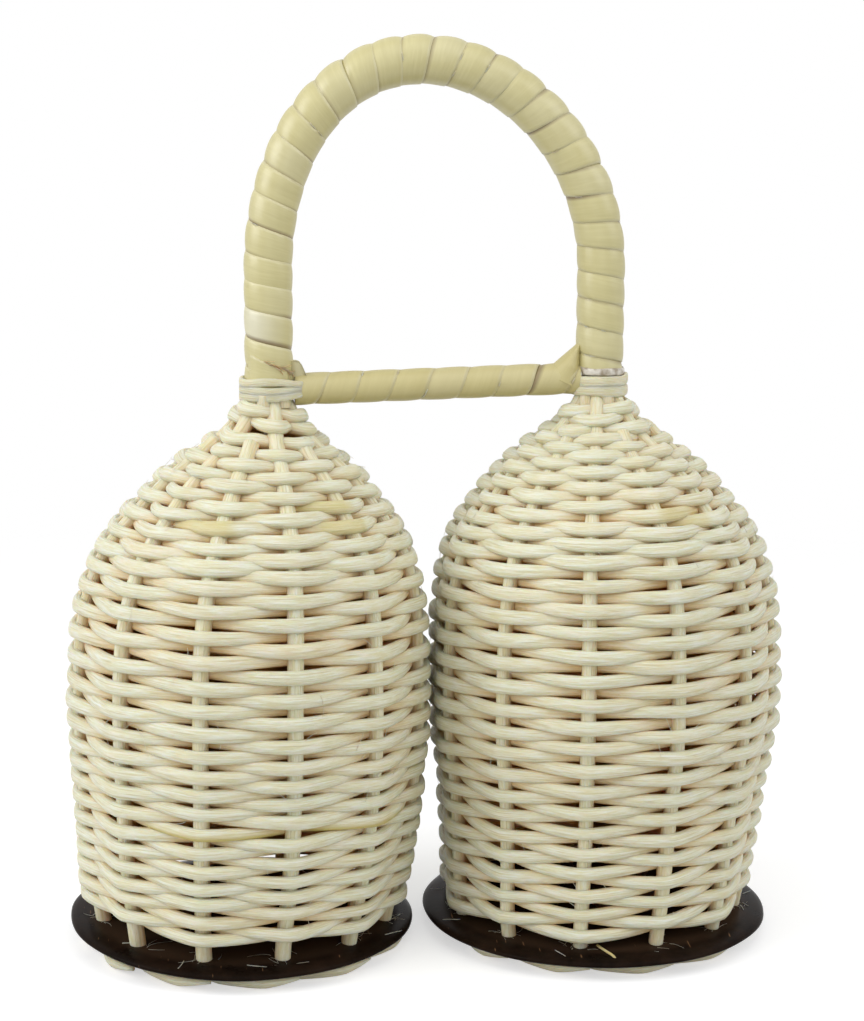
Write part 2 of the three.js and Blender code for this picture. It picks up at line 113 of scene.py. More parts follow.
def place(basket, radius, angle, height):
    """Points by distance from the basket's leaning axis, angle from the front towards +X, and height."""
    low = np.clip((BELLY_HEIGHT - height) / (BELLY_HEIGHT - LOWEST_ROW), 0, 1) ** 2
    high = np.clip((height - BELLY_HEIGHT) / (basket["neck"] - BELLY_HEIGHT), 0, 1) ** 2
    x = basket["belly_x"] + basket["base_shift"] * low + basket["neck_shift"] * high + radius * np.sin(angle)
    return np.stack(np.broadcast_arrays(x, -radius * np.cos(angle), height), axis=-1)


def swell(basket, arc):
    """How far the wall stands out of the outline at a distance along it."""
    return np.interp(arc, SWELL_ARCS, basket["swell"])


def around(count):
    """Angles at even steps round a circle."""
    return 2 * math.pi * np.arange(count) / count


def smooth(share):
    """A share from 0 to 1 with soft ends: three times its square less twice its cube."""
    return share * share * (3 - 2 * share)


def tube(path, outward, half_out, half_across, sides, flat=1.0):
    """Rings round a path: an ellipse square to the path at each point, with its half axes outwards and
    across. A flat power under one fills its corners."""
    along = np.gradient(path, axis=-2)
    along /= np.linalg.norm(along, axis=-1, keepdims=True)
    out = outward - (outward * along).sum(-1, keepdims=True) * along
    out /= np.linalg.norm(out, axis=-1, keepdims=True)
    across = np.cross(along, out)
    turn = around(sides)
    up, over = (np.sign(wave) * np.abs(wave) ** flat for wave in (np.cos(turn), np.sin(turn)))
    half_out, half_across = (np.broadcast_to(half, path.shape[:-1]) for half in (half_out, half_across))
    rise = half_out[..., None, None] * up[:, None] * out[..., None, :]
    side = half_across[..., None, None] * over[:, None] * across[..., None, :]
    return path[..., None, :] + rise + side


def evenly(path, step):
    """The rows of a path, all columns together, taken anew at even steps along its first three columns."""
    arc = np.concatenate([[0], np.cumsum(np.linalg.norm(np.diff(path[:, :3], axis=0), axis=1))])
    new = np.linspace(0, arc[-1], int(arc[-1] / step))
    return np.stack([np.interp(new, arc, column) for column in path.T], axis=1)


def with_ends(grids):
    """Each grid's points in one list, followed by the middles of its first and of its last row."""
    ends = [grids[:, row].mean(1, keepdims=True) for row in (0, -1)]
    width = grids.shape[-1]
    return np.concatenate([grids.reshape(len(grids), -1, width), *ends], axis=1).reshape(-1, width)


def surface(name, points, layers, finish):
    """A mesh over one or more grids of points in millimetres: columns close round, and each end closes to its
    middle. Faces point outwards, which the sign of the volume tells."""
    rows, columns = points.shape[-3:-1]
    points = points.reshape(-1, rows, columns, 3)
    here = np.arange(rows * columns).reshape(rows, columns)
    beside = np.roll(here, -1, axis=1)
    first, last = rows * columns, rows * columns + 1
    quads = np.stack([here[:-1], beside[:-1], beside[1:], here[1:]], axis=-1).reshape(-1, 4)
    low = np.stack([np.full(columns, first), beside[0], here[0]], axis=-1)
    high = np.stack([np.full(columns, last), here[-1], beside[-1]], axis=-1)
    vertices = with_ends(points) * 0.001
    triangles = np.vstack([quads[:, (0, 1, 2)], quads[:, (0, 2, 3)], low, high])
    a, b, c = (vertices[triangles[:, i]] for i in range(3))
    faces = [quads, low, high]
    if np.einsum("ij,ij->i", a - a[0], np.cross(b - a[0], c - a[0])).sum() < 0:
        faces = [face[:, ::-1] for face in faces]
    starts = np.arange(len(points))[:, None, None] * (rows * columns + 2)
    faces = [face for group in faces for face in (group[None] + starts).reshape(-1, group.shape[1]).tolist()]
    mesh = bpy.data.meshes.new(name)
    mesh.from_pydata(vertices.tolist(), [], faces)
    mesh.polygons.foreach_set("use_smooth", np.ones(len(mesh.polygons), dtype=bool))
    for key, values in layers.items():
        kind, slot, width = ("FLOAT_VECTOR", "vector", 3) if key == "grain" else ("FLOAT", "value", 1)
        values = np.reshape(values, (*np.shape(values), 1)) if width == 1 else values
        whole = with_ends(np.broadcast_to(values, (*points.shape[:3], width)))
        mesh.attributes.new(key, kind, "POINT").data.foreach_set(slot, whole.astype(np.float32).ravel())
    mesh.materials.append(finish)
    piece = bpy.data.objects.new(name, mesh)
    bpy.context.collection.objects.link(piece)
    return piece


def grain_of(points, stretch):
    """Where each point lies on its reed: a circle across it and the distance along it, for its finish."""
    middle = points.mean(-2)
    steps = np.linalg.norm(np.diff(middle, axis=-2), axis=-1)
    arc = np.concatenate([0 * steps[..., :1], np.cumsum(steps, axis=-1)], axis=-1) / stretch
    turn = around(points.shape[-2])
    return np.stack(np.broadcast_arrays(np.cos(turn), np.sin(turn), arc[..., None]), axis=-1)


def reed_piece(name, points, finish, stretch, tone, skin=0.0):
    """A piece of reed: a mesh over its points with its grain, its tone and how much skin is left on it."""
    return surface(name, points, {"grain": grain_of(points, stretch), "tone": tone, "skin": skin}, finish)


def drift(count, step, size):
    """A smooth random line: random values, one for each step, with smooth curves between them."""
    knots = chance.normal(0, size, count // step + 3)
    at = np.arange(count) / step
    low = at.astype(int)
    share = smooth(at - low)
    return knots[low] * (1 - share) + knots[low + 1] * share


def finish_of(name):
    """A new material, its node tree and its surface shader."""
    material = bpy.data.materials.new(name)
    material.use_nodes = True
    tree = material.node_tree
    return material, tree, tree.nodes["Principled BSDF"]


def add(tree, kind, inputs=(), **settings):
    """A new node with its settings and its constant inputs or links."""
    node = tree.nodes.new(kind)
    for key, value in settings.items():
        setattr(node, key, value)
    for key, value in dict(inputs).items():
        if isinstance(value, bpy.types.NodeSocket):
            tree.links.new(value, node.inputs[key])
        else:
            node.inputs[key].default_value = value
    return node


def mix(tree, share, first, second):
    """The colour between two colours by a share."""
    node = add(tree, "ShaderNodeMix", {"Factor": share}, data_type="RGBA")
    for socket, value in ((node.inputs[6], first), (node.inputs[7], second)):
        if isinstance(value, bpy.types.NodeSocket):
            tree.links.new(value, socket)
        else:
            socket.default_value = (*value, 1)
    return node.outputs[2]


def spread(tree, value, low, high, to_low=0.0, to_high=1.0):
    """A value's range stretched to another range, with nothing outside it."""
    ends = {"From Min": low, "From Max": high, "To Min": to_low, "To Max": to_high}
    return add(tree, "ShaderNodeMapRange", {"Value": value, **ends}).outputs["Result"]


def noise(tree, vector, scale, detail, roughness=0.5):
    """A cloudy pattern round one half."""
    inputs = {"Vector": vector, "Scale": scale, "Detail": detail, "Roughness": roughness}
    return add(tree, "ShaderNodeTexNoise", inputs).outputs["Fac"]


def layer(tree, name):
    """A piece's own number at each point, such as its tone."""
    return add(tree, "ShaderNodeAttribute", attribute_name=name).outputs["Fac"]


def stretched_grain(tree, share):
    """Where a point lies on its reed or strip, with the distance along it shortened to a share."""
    grain = add(tree, "ShaderNodeAttribute", attribute_name="grain").outputs["Vector"]
    return add(tree, "ShaderNodeVectorMath", {0: grain, 1: (1, 1, share)}, operation="MULTIPLY").outputs[0]


def bump(tree, shader, height, strength, depth):
    """Fine relief on a finish: its depth in metres where the height goes from 0 to 1."""
    node = add(tree, "ShaderNodeBump", {"Height": height, "Strength": strength, "Distance": depth})
    tree.links.new(node.outputs["Normal"], shader.inputs["Normal"])


# Painted shade: a reed's tone grows warmer with its depth under the wall's face, and dark deeper inside.
PAINTED_SHADE_FROM, PAINTED_SHADE_SPAN, PAINTED_SHADE_POWER = 1.3, 3.8, 1.4
INSIDE_SHADE_FROM, INSIDE_SHADE_SPAN = 5.5, 0.8
WARM_REED_AND_PAINTED_SHADE = (0.93, 0.50, 0.15)
PAINTED_INSIDE_SHADE = (0.16, 0.08, 0.03)
GROOVE = (0.57, 0.51, 0.30)
SKIN = (0.60, 0.50, 0.16)


def painted_shade_at(depth):
    """Painted shade at a depth under the wall's face: a tone ever warmer up to 1, and from 1 to 2 the dark
    inside.
    """
    warm = np.clip((depth - PAINTED_SHADE_FROM) / PAINTED_SHADE_SPAN, 0, 1) ** PAINTED_SHADE_POWER
    return warm + np.clip((depth - INSIDE_SHADE_FROM) / INSIDE_SHADE_SPAN, 0, 1)


def reed_finish(name, pale, tan, roughness):
    """Peeled reed: long fibres in two tones with fine dark grooves, warmer where its tone says that it lies
    deep in the weave and dark deeper still, both painted shade, and yellow and smoother where strips of skin
    were left on."""
    material, tree, shader = finish_of(name)
    tone = layer(tree, "tone")
    peel = layer(tree, "skin")
    fibre = noise(tree, stretched_grain(tree, 1), 3.2, 4, 0.65)
    patches = noise(tree, stretched_grain(tree, 0.22), 1.1, 2)
    lines = noise(tree, stretched_grain(tree, 0.3), 5, 2)
    colour = mix(tree, spread(tree, fibre, 0.38, 0.62), tan, pale)
    colour = mix(tree, spread(tree, patches, 0.35, 0.7, 0, 0.35), colour, tan)
    colour = mix(tree, spread(tree, lines, 0.57, 0.68, 0, 0.7), colour, GROOVE)
    # Painted shade: warm where the reed lies deep in the weave, dark where it lies inside it.
    colour = mix(tree, tone, colour, WARM_REED_AND_PAINTED_SHADE)
    colour = mix(tree, spread(tree, tone, 1, 2, 0, 0.85), colour, PAINTED_INSIDE_SHADE)
    colour = mix(tree, peel, colour, SKIN)
    tree.links.new(colour, shader.inputs["Base Color"])
    bump(tree, shader, fibre, 0.7, 0.0006)
    tree.links.new(spread(tree, peel, 0, 1, roughness, 0.38), shader.inputs["Roughness"])
    tree.links.new(spread(tree, tone, 0, 0.5, 0.4, 0.08), shader.inputs["Specular IOR Level"])
    shader.inputs["Subsurface Weight"].default_value = 0.4
    shader.inputs["Subsurface Radius"].default_value = (1.0, 0.62, 0.3)
    shader.inputs["Subsurface Scale"].default_value = 0.003
    return material


def stake_path(basket, angle, is_long):
    """The stake's middle line and outward normal: foot, bend, leg and wall, and the bunch for a long one."""
    forward = np.linspace(FOOT_RUN + FOOT_OVERRUN, FOOT_BEND, FOOT_STEPS)
    foot_radius = LEG_RADIUS + FOOT_SIDESTEP * smooth(np.clip(forward / FOOT_RUN, 0, 1))
    foot_height = FOOT_MIDDLE + FOOT_TIP_LIFT * np.clip(1 - (forward[0] - forward) / FOOT_TAPER, 0, 1)
    bend = np.linspace(math.pi / 2, 0, BEND_STEPS)
    bend_angle = angle + FOOT_BEND * (1 - np.cos(bend)) / LEG_RADIUS
    bend_height = FOOT_MIDDLE + FOOT_BEND * (1 - np.sin(bend))
    arc = np.arange(0.0, basket["arc"][-1] - (0 if is_long else SHORT_STAKE_LACKS), WALL_STEP)
    depth = STAKE_DEPTH - swell(basket, arc) * np.clip(arc / SWELL_FULL, 0, 1)
    if not is_long:
        depth = depth - CUT_END_LIFT * np.clip(1 - (arc[-1] - arc) / SHORT_STAKE_LACKS, 0, 1)
    wall_radius, wall_height, wall_out, wall_up = wall(basket, arc, depth)
    parts = [
        (foot_radius, angle + forward / LEG_RADIUS, foot_height, np.ones(FOOT_STEPS), np.zeros(FOOT_STEPS)),
        (np.full(BEND_STEPS, LEG_RADIUS), bend_angle, bend_height, np.ones(BEND_STEPS), np.zeros(BEND_STEPS)),
        (wall_radius, np.full(len(arc), angle), wall_height, wall_out, wall_up),
    ]
    if is_long:
        top = basket["neck"] + np.linspace(BUNCH_FROM, BUNCH_TO, BUNCH_STEPS)
        even = np.ones(BUNCH_STEPS)
        parts.append((BUNCH_RADIUS * even, angle * even, top, even, 0 * even))
    radius, turn, height, out, up = (np.concatenate(column) for column in zip(*parts))
    outward = np.stack([out * np.sin(turn), -out * np.cos(turn), up], axis=1)
    path = evenly(np.hstack([place(basket, radius, turn, height), outward]), STAKE_STEP)
    path[2:-2] = (path[:-4] + path[1:-3] + path[2:-2] + path[3:-1] + path[4:]) / 5
    return path[:, :3], path[:, 3:]


stake_reed = reed_finish("stake_reed", (0.84, 0.83, 0.69), (0.735, 0.68, 0.435), 0.55)
for basket in baskets:
    basket.update(outline_of(basket))
    for i in range(STAKE_COUNT):
        name = f"{basket['name']}_stake_{i + 1:02d}"
        path, outward = stake_path(basket, basket["first"] + i * STAKE_SPACING, i % 2 == 0)
        count = len(path)
        radius = np.interp(path[:, 2], (LEG_FROM, LEG_FULL), (FOOT_RADIUS, basket["stake"]))
        radius *= 1 + drift(count, 12, 0.02)
        radius *= np.interp(np.arange(count) * STAKE_STEP, (0, FOOT_TAPER), (FOOT_TIP_SHARE, 1))
        depth = STAKE_DEPTH - basket["stake"] * np.cos(around(STAKE_SIDES))
        # Tone: a little random tone, and painted shade on the sides of the stake that lie deep in the wall.
        tone = STAKE_TONE + drift(count, 14, 0.03)[:, None] + STAKE_PAINTED_SHADE * painted_shade_at(depth)
        points = tube(path, outward, radius, radius, STAKE_SIDES)
        stake = reed_piece(f"{name}_reed", points, stake_reed, 16, np.clip(tone, 0, 1))
        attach(stake, "basketry")
        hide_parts(name)

# Woven walls: two round reeds start together at the bottom of each basket and spiral up to the neck, one
# passing outside the odd stakes and the other outside the even ones, and in the dome round the six long
# stakes only. A few stretches keep their yellow skin, and fine fibres stand loose from the reed.
ROW_ARCS = {
    "left": (-1.5, 0.6, 4.2, 9.4, 13.5, 17.8, 22.2, 26.9, 32.1, 36.9, 41.2, 45.9, 51.0, 56.4, 61.9, 67.6,
             73.9, 79.6, 85.4, 90.7, 95.3, 100.0, 105.6, 111.4, 117.9, 125.7, 134.1, 141.4, 146.0),
    "right": (-1.5, -0.3, 5.2, 10.3, 16.1, 20.9, 26.5, 31.7, 36.6, 42.2, 47.9, 53.1, 58.8, 64.6, 70.5, 76.1,
              81.2, 87.0, 93.1, 97.6, 101.9, 107.6, 113.0, 117.8, 123.4, 129.2, 134.8, 140.0, 145.0),
}
ROW_TURN = {"left": -1, "right": 1}
FIRST_TURN = {"left": (0.5, 17 / 12), "right": (0.5, 5 / 12)}
LAST_TURN = (26 + 2 / 3, 26.5)
OVER_DEPTH = 1.3
UNDER_DEPTH = 5.2
DOME_UNDER_DEPTH = 4.4
DOME_FROM, DOME_FULL = 112, 124
LONG_STAKES_FROM = 127
STEPS_PER_STAKE = 12
WEAVER_SIDES = 14
WEAVER_CORNERS = 0.74
WEAVER_GRAIN = 18
WEAVER_TONE = 0.01
WEAVER_HALF = 1.42
FLATTER_OUTSIDE = 0.1
WIDER_OUTSIDE, NARROWER_INSIDE = 0.15, 0.04
WIDTH_ARCS, WIDTH_HALVES = (25, 45, 75, 110), (1.42, 1.5, 1.6, 1.63)
KINK_ARCS, KINKS = (30, 90), (0.99, 0.95)
WAVE_ARCS, WAVES = (25, 60), (0.34, 0.1)
RISE_END = 30
BACK_STEEPNESS = 1.6
BACK_DROP, BACK_DROP_END = 1.5, 16
BACK_WIDENING = 0.5
SINK_ON_SLOPE = 0.75
MIDDLE_GAP = 0.02
BROAD_SKIN = {"strength": 0.55, "steep": 1.1, "wide": 0.5, "low": 0}
THIN_SKIN = {"strength": 1.0, "steep": 2.2, "wide": -1.1, "low": 50}
SKIN_SPOTS = {
    "left": ((103.6, -26, 1.8, 16, BROAD_SKIN), (108.2, 30, 1.8, 14, BROAD_SKIN),
             (102.6, 36, 1.8, 12, BROAD_SKIN), (29.9, -14, 1.3, 26, THIN_SKIN),
             (29.4, 38, 1.3, 24, THIN_SKIN)),
    "right": ((104, 26, 1.8, 14, BROAD_SKIN), (60, 200, 1.8, 60, BROAD_SKIN), (34, 120, 1.8, 40, THIN_SKIN)),
}
FIBRE_STEPS = 8
FIBRE_SIDES = 5
SHORTEST_FIBRE, LOWEST_FIBRE = 0.45, 0.3
FIBRE_ARCH, FIBRE_TWIST, FIBRE_TAPER = 1.6, 0.3, 0.5
WALL_FIBRES = 160
WALL_FIBRE_ARCS = (4, 126)
WALL_FIBRE_DEPTH = 1.4


def on_left(angle):
    """1 at the basket's left, falling to 0 at its front and back and staying there on its right."""
    return np.clip(-np.sin(angle), 0, 1) ** 1.5


def skin_left(basket, arc, angle):
    """How much skin is left on each side of a weaver: for every spot a strip that fades out along the weaver
    and over the neighbouring rows, and that covers the sides which face one way."""
    sides = around(WEAVER_SIDES)
    skin = np.zeros((len(arc), WEAVER_SIDES))
    for spot_arc, spot_turn, half_arc, half_turn, strip in SKIN_SPOTS[basket["name"]]:
        beside = np.degrees(np.angle(np.exp(1j * (angle - math.radians(spot_turn)))))
        near = np.clip(3 - 3 * np.abs(arc - spot_arc) / half_arc, 0, 1)
        near = near * np.clip(4 - 4 * np.abs(beside) / half_turn, 0, 1)
        facing = np.cos(sides - ROW_TURN[basket["name"]] * math.radians(strip["low"]))
        skin += strip["strength"] * near[:, None] * np.clip(strip["wide"] + strip["steep"] * facing, 0, 1)
    return np.clip(skin, 0, 1)


def weaver(basket, is_first):
    """A reed that spirals up the wall: its depth under the wall's outer face swings from stake to stake as a
    rounded triangle wave, so that it bends over one stake and passes inside the next, a little higher there.
    It is widest where it lies outside and at the back of the basket, where the lowest rows also lie lower."""
    rows = np.array(ROW_ARCS[basket["name"]])
    if not is_first:
        rows = (rows[1:] + rows[:-1]) / 2
    per_turn = STAKE_COUNT * STEPS_PER_STAKE
    first, last = FIRST_TURN[basket["name"]][is_first], LAST_TURN[is_first]
    turns = np.arange(round(first * per_turn), round(last * per_turn) + 1) / per_turn
    count = len(turns)
    angle = basket["first"] + ROW_TURN[basket["name"]] * 2 * math.pi * turns
    at_back = np.clip(-BACK_STEEPNESS * np.cos(angle), 0, 1)
    arc = np.interp(turns, np.arange(len(rows)), rows)
    arc = arc + basket["rise"] * on_left(angle) * np.clip(1 - arc / RISE_END, 0, 1)
    arc = arc - BACK_DROP * at_back * np.clip(1 - arc / BACK_DROP_END, 0, 1)
    step = np.where(np.interp(np.floor(turns), np.arange(len(rows)), rows) > LONG_STAKES_FROM, 2, 1)
    swing = np.cos(math.pi * (angle - basket["first"]) / (STAKE_SPACING * step)) * (1 if is_first else -1)
    kink = np.interp(arc, KINK_ARCS, KINKS)
    swing = np.arcsin(kink * swing) / np.arcsin(kink)
    arc = arc + drift(count, 10, 0.2) + (1 - swing) * np.interp(arc, WAVE_ARCS, WAVES)
    deepest = np.interp(arc, (DOME_FROM, DOME_FULL), (UNDER_DEPTH, DOME_UNDER_DEPTH))
    depth = (OVER_DEPTH + deepest) / 2 - swing * (deepest - OVER_DEPTH) / 2 + drift(count, 8, 0.14)
    side_depth = depth[:, None] - WEAVER_HALF * np.cos(around(WEAVER_SIDES))
    # Tone: a little random tone, and painted shade on the sides of the weaver that lie deep in the weave.
    tone = WEAVER_TONE + drift(count, 30, 0.03)[:, None] + painted_shade_at(side_depth)
    depth = depth - swell(basket, arc)
    out, up = wall(basket, arc)[2:]
    level = arc + SINK_ON_SLOPE * (depth - OVER_DEPTH) * np.clip(up / out, 0, 1)
    radius, height, out, up = wall(basket, level, depth)
    path = place(basket, radius, angle, height)
    outward = np.stack([out * np.sin(angle), -out * np.cos(angle), up], axis=1)
    thick = 1 + drift(count, 40, 0.05) + drift(count, 9, 0.03)
    half_out = WEAVER_HALF * thick * (1 - FLATTER_OUTSIDE * np.clip(swing, 0, 1))
    half_across = np.interp(arc, WIDTH_ARCS, WIDTH_HALVES)
    half_across = half_across + np.where(swing > 0, WIDER_OUTSIDE, NARROWER_INSIDE) * swing
    half_across = (half_across + BACK_WIDENING * at_back) * thick
    points = tube(path, outward, half_out, half_across, WEAVER_SIDES, WEAVER_CORNERS)
    x = points[..., 0]
    points[..., 0] = np.minimum(x, -MIDDLE_GAP) if basket is left else np.maximum(x, MIDDLE_GAP)
    return points, np.clip(tone, 0, 2), skin_left(basket, arc, angle)


def fibres(name, slot, starts, outward, heading, length, lift, thick, bend, warmth=0.1):
    """Loose fibres: each a short bowed line from its start, level with the surface, and its tip lifts off."""
    count = len(starts)
    heading = heading - (heading * outward).sum(1, keepdims=True) * outward
    heading = heading / np.linalg.norm(heading, axis=1, keepdims=True)
    aside = np.cross(heading, outward)
    t = np.linspace(0, 1, FIBRE_STEPS)[None, :, None]
    size = (length * chance.uniform(SHORTEST_FIBRE, 1.0, count))[:, None, None]
    bow = chance.normal(0, bend, (count, 1, 1))
    rise = lift * chance.uniform(LOWEST_FIBRE, 1.0, (count, 1, 1))
    path = starts[:, None] + size * (t * heading[:, None] + bow * t**2 * aside[:, None])
    path = path + rise * t * (FIBRE_ARCH - t) * outward[:, None]
    radius = np.broadcast_to(thick * (1 - FIBRE_TAPER * t[..., 0]), (count, FIBRE_STEPS))
    upward = np.broadcast_to(outward[:, None], path.shape) + FIBRE_TWIST * aside[:, None]
    points = tube(path, upward, radius, radius, FIBRE_SIDES)
    tone = np.clip(chance.normal(warmth, 0.1, (count, 1, 1)), 0, 1)
    piece = reed_piece(name, points, weaver_reed, WEAVER_GRAIN, tone)
    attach(piece, "basketry")


weaver_reed = reed_finish("weaver_reed", (0.82, 0.835, 0.735), (0.71, 0.68, 0.45), 0.5)
for basket in baskets:
    for letter in "ab":
        points, tone, skin = weaver(basket, letter == "a")
        name = f"{basket['name']}_weaver_{letter}"
        strand = reed_piece(name, points, weaver_reed, WEAVER_GRAIN, tone, skin)
        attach(strand, "basketry")
        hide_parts(f"{basket['name']}_woven_wall")
    arc = chance.uniform(*WALL_FIBRE_ARCS, WALL_FIBRES)
    angle = basket["first"] + chance.integers(0, STAKE_COUNT, WALL_FIBRES) * STAKE_SPACING
    angle = angle + chance.normal(0, 0.09, WALL_FIBRES)
    radius, height, out, up = wall(basket, arc, WALL_FIBRE_DEPTH - swell(basket, arc))
    outward = np.stack([out * np.sin(angle), -out * np.cos(angle), up], axis=1)
    fibres(f"{basket['name']}_wall_fibres", "weaver", place(basket, radius, angle, height), outward,
           chance.normal(0, 1, (WALL_FIBRES, 3)), length=7.0, lift=1.2, thick=0.08, bend=0.6)

# Base discs: thin caps cut from a coconut shell, domed, polished round the rim and raw inside the basket. The
# stakes pass through holes near the rim, where torn fibres stand out, and flecks and straws of the husk show
# in the dark shell. A longer straw hangs over the right one's rim.
DISC_RADIUS = 42.8
DISC_SCALE = {"left": 1.012, "right": 1.032}
DISC_SHIFT = {"left": -0.8, "right": 0.0}
DISC_UNDER = [(0.4, 4.55), (14, 4.4), (28, 3.95), (38, 3.45), (41.2, 3.32), (42.3, 3.45), (42.8, 3.85)]
DISC_OVER = [(42.75, 4.3), (42.3, 4.75), (41.2, 5.2), (39, 5.6), (36, 5.92), (32, 6.2), (24, 6.55), (14, 6.8),
             (6, 6.9), (0.4, 6.93)]
DISC_PROFILE = np.array(DISC_UNDER + DISC_OVER)
DISC_TOP = np.array(DISC_OVER[:1:-1])
DISC_STEPS = 144
DISC_RISE = 1.3
RAW_RADIUS, RAW_FADE, RAW_ABOVE = 37, 1.5, 5
HOLE_FIBRES = 96
HOLE_FIBRE_LIFT = 0.1
HUSK_STRAWS = 14
HUSK_STRAW_RADII = (38, 40)
HUSK_STRAW_LIFT = 0.08
FRONT_STRAW_TURNS = (9, -24)
LONG_STRAW_RADII = (36.5, 41.2, 43.5)
LONG_STRAW_HEIGHTS = (6.5, 5.75, 3.7)
LONG_STRAW_TURNS = (-9, -1.5)
LONG_STRAW_HALVES = (0.25, 0.36)
LONG_STRAW_OUTWARD = (0.0, -0.6, 0.8)
LONG_STRAW_STEPS = 14
UPRIGHT = np.array([(0.0, 0.0, 1.0)])


def disc_rise(basket, radius, angle):
    """How much higher the shell lies on the basket's left, growing towards the rim."""
    return DISC_RISE * basket["rise"] * on_left(angle) * (radius / DISC_RADIUS) ** 3


def disc(basket):
    """A turned shell: the profile's radius and height for every angle, with a slightly uneven rim."""
    angle = around(DISC_STEPS)
    uneven = 0.004 * np.sin(2 * angle + 1) + 0.003 * np.sin(5 * angle) + 0.0016 * np.sin(11 * angle + 2)
    share = DISC_PROFILE[:, :1] / DISC_RADIUS
    radius = DISC_SCALE[basket["name"]] * DISC_PROFILE[:, :1] * (1 + uneven[None] * share**4)
    height = DISC_PROFILE[:, 1:] + 0.12 * np.sin(3 * angle + 0.6)[None] * share**2
    height = height + disc_rise(basket, radius, angle[None])
    return place(basket, radius, angle[None], height) + np.array((DISC_SHIFT[basket["name"]], 0, 0))


def on_disc(basket, radius, angle, lift):
    """Points a little above the shell's upper face, by distance from the basket's axis and angle."""
    height = np.interp(radius, DISC_TOP[:, 0], DISC_TOP[:, 1]) + lift + disc_rise(basket, radius, angle)
    return place(basket, radius, angle, height)


def larger(tree, first, second):
    """The larger of two values."""
    return add(tree, "ShaderNodeMath", {0: first, 1: second}, operation="MAXIMUM").outputs[0]


def coconut_finish():
    """Polished coconut shell: near black brown with lighter clouds, short pale flecks of husk and worn,
    duller patches, and raw and dull where it lies inside the basket."""
    material, tree, shader = finish_of("coconut_shell")
    spot = add(tree, "ShaderNodeTexCoord").outputs["Object"]
    stretch = {"Vector": spot, "Rotation": (0, 0, 0.7), "Scale": (1100, 160, 400)}
    clouds = noise(tree, spot, 90, 6, 0.65)
    flecks = noise(tree, add(tree, "ShaderNodeMapping", stretch).outputs[0], 1, 1)
    inner = layer(tree, "inner")
    colour = mix(tree, spread(tree, clouds, 0.4, 0.75), (0.007, 0.0042, 0.0028), (0.024, 0.013, 0.008))
    colour = mix(tree, spread(tree, flecks, 0.72, 0.78), colour, (0.20, 0.11, 0.055))
    colour = mix(tree, inner, colour, (0.055, 0.032, 0.018))
    tree.links.new(colour, shader.inputs["Base Color"])
    polish = spread(tree, clouds, 0.3, 0.8, 0.24, 0.42)
    tree.links.new(larger(tree, polish, inner), shader.inputs["Roughness"])
    shader.inputs["Specular IOR Level"].default_value = 0.025
    bump(tree, shader, clouds, 0.25, 0.0003)
    return material


coconut = coconut_finish()
for basket in baskets:
    inner = np.clip((RAW_RADIUS - DISC_PROFILE[:, :1]) / RAW_FADE, 0, 1) * (DISC_PROFILE[:, 1:] > RAW_ABOVE)
    shell = surface(f"{basket['name']}_coconut_disc", disc(basket), {"inner": inner}, coconut)
    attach(shell, "basketry")
    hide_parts(f"{basket['name']}_base_disc")
    angle = basket["first"] + (np.arange(HOLE_FIBRES) % STAKE_COUNT) * STAKE_SPACING
    angle = angle + chance.normal(0, 0.05, HOLE_FIBRES)
    radius = LEG_RADIUS + chance.normal(0.6, 1.4, HOLE_FIBRES)
    fibres(f"{basket['name']}_hole_fibres", "coconut", on_disc(basket, radius, angle, HOLE_FIBRE_LIFT),
           np.repeat(UPRIGHT, HOLE_FIBRES, axis=0), chance.normal(0, 1, (HOLE_FIBRES, 3)),
           length=4.5, lift=0.5, thick=0.05, bend=0.7)
    angle = chance.uniform(0, 2 * math.pi, HUSK_STRAWS)
    radius = chance.uniform(*HUSK_STRAW_RADII, HUSK_STRAWS)
    angle[:2] = np.radians(FRONT_STRAW_TURNS)
    fibres(f"{basket['name']}_husk_straws", "coconut", on_disc(basket, radius, angle, HUSK_STRAW_LIFT),
           np.repeat(UPRIGHT, HUSK_STRAWS, axis=0), chance.normal(0, 1, (HUSK_STRAWS, 3)),
           length=5.0, lift=0.1, thick=0.12, bend=0.06)

radius = np.linspace(LONG_STRAW_RADII[0], LONG_STRAW_RADII[-1], LONG_STRAW_STEPS)
angle = np.radians(np.linspace(*LONG_STRAW_TURNS, LONG_STRAW_STEPS))
path = place(right, radius, angle, np.interp(radius, LONG_STRAW_RADII, LONG_STRAW_HEIGHTS))
points = tube(path, np.broadcast_to(LONG_STRAW_OUTWARD, path.shape), *LONG_STRAW_HALVES, 8)
straw = reed_piece("right_long_straw", points, weaver_reed, WEAVER_GRAIN, 0.6, 0.4)
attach(straw, "basketry")

# Collars: turns of split reed bind each bunch of stakes to the handle. The left one also takes in the end of
# the crossbar, so its turns run together there. Below them the cut ends of reeds show, and a strip of clear
# tape is left above the right one.
COLLAR_SIZE = {"left": (1.3, 8.0, 6.3), "right": (0.0, 6.6, 6.4)}
COLLAR_HEIGHTS = {"left": (3.4, 5.1, 6.8), "right": (2.7, 5.1)}
COLLAR_HALF = {"left": 1.05, "right": 1.35}
COLLAR_PINCH = {"left": 0.62, "right": -0.12}
COLLAR_THICK = 0.62
COLLAR_TURN = (-2.9, 3.5)
COLLAR_STEPS = 72
COLLAR_SIDES = 16
COLLAR_CORNERS = 0.66
COLLAR_GRAIN = 14
STUB_PLACES = {"left": ((40, 0.8), (-16, 0.6), (160, 0.5)), "right": ((-46, -1.6), (12, -0.8), (170, 0.0))}
STUB_TOP = 4
STUB_RADIUS = 5.3
STUB_HALVES = (1.6, 1.75)
TAPE_RADIUS = 6.0
TAPE_HEIGHT = 7.3
TAPE_THICK, TAPE_HALF = 0.3, 1.1
TAPE_TURN = (-2.8, 3.4)
TAPE_STEPS = 90


